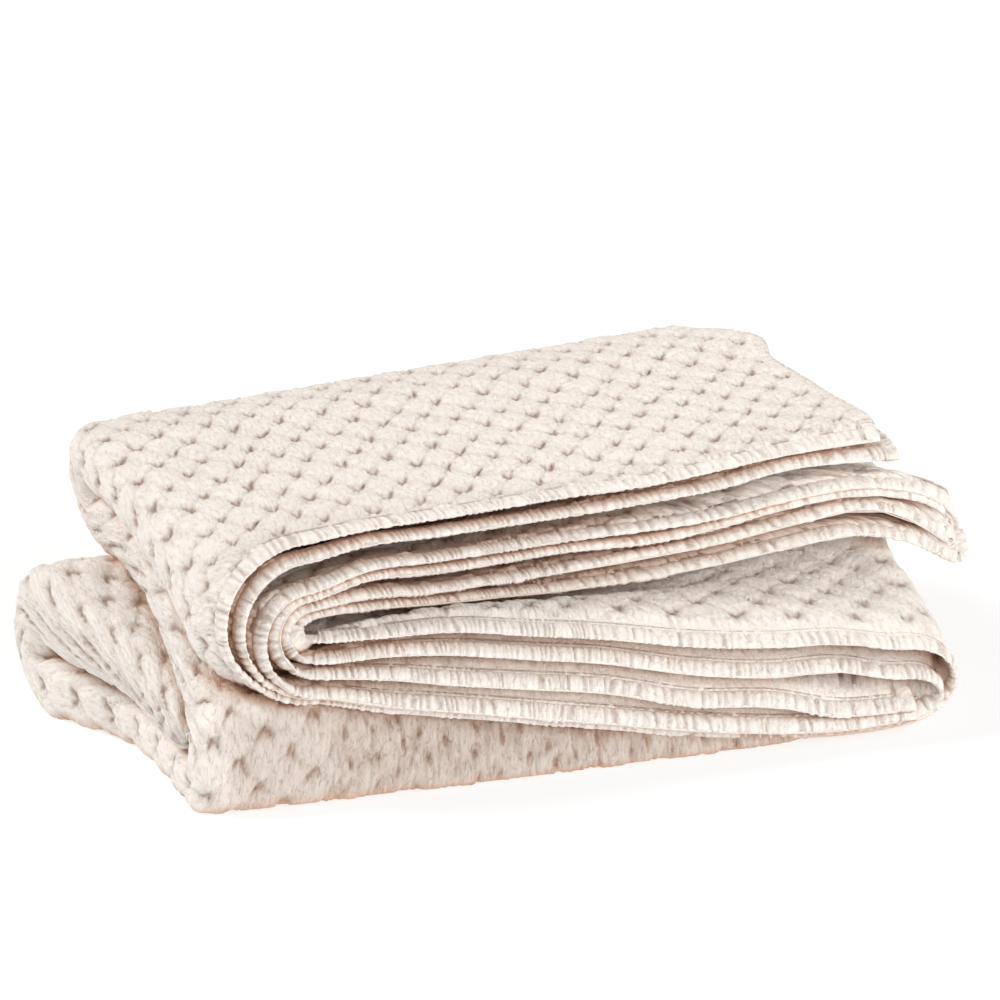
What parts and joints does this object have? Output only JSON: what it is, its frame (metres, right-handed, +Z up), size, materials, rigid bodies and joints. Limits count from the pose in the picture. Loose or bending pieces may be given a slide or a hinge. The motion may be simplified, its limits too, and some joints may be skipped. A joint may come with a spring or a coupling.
{
  "type": "folded matelasse coverlet",
  "caption": "Quilted cotton bed coverlet with turned hems, folded back and forth and then over itself into a soft pile.",
  "frame": {"origin": "middle of the underside of the pile, on the surface it rests on", "axes": "+X along the front, towards the pile's right end; +Y away from the front, towards the rounded back folds; +Z up"},
  "size_m": [0.4744, 0.3108, 0.1372],
  "materials": {
    "coverlet": "crinkled matelasse cotton, washed and matt"
  },
  "bodies": {
    "root": {"coverlet": "coverlet"}
  },
  "joints": []
}
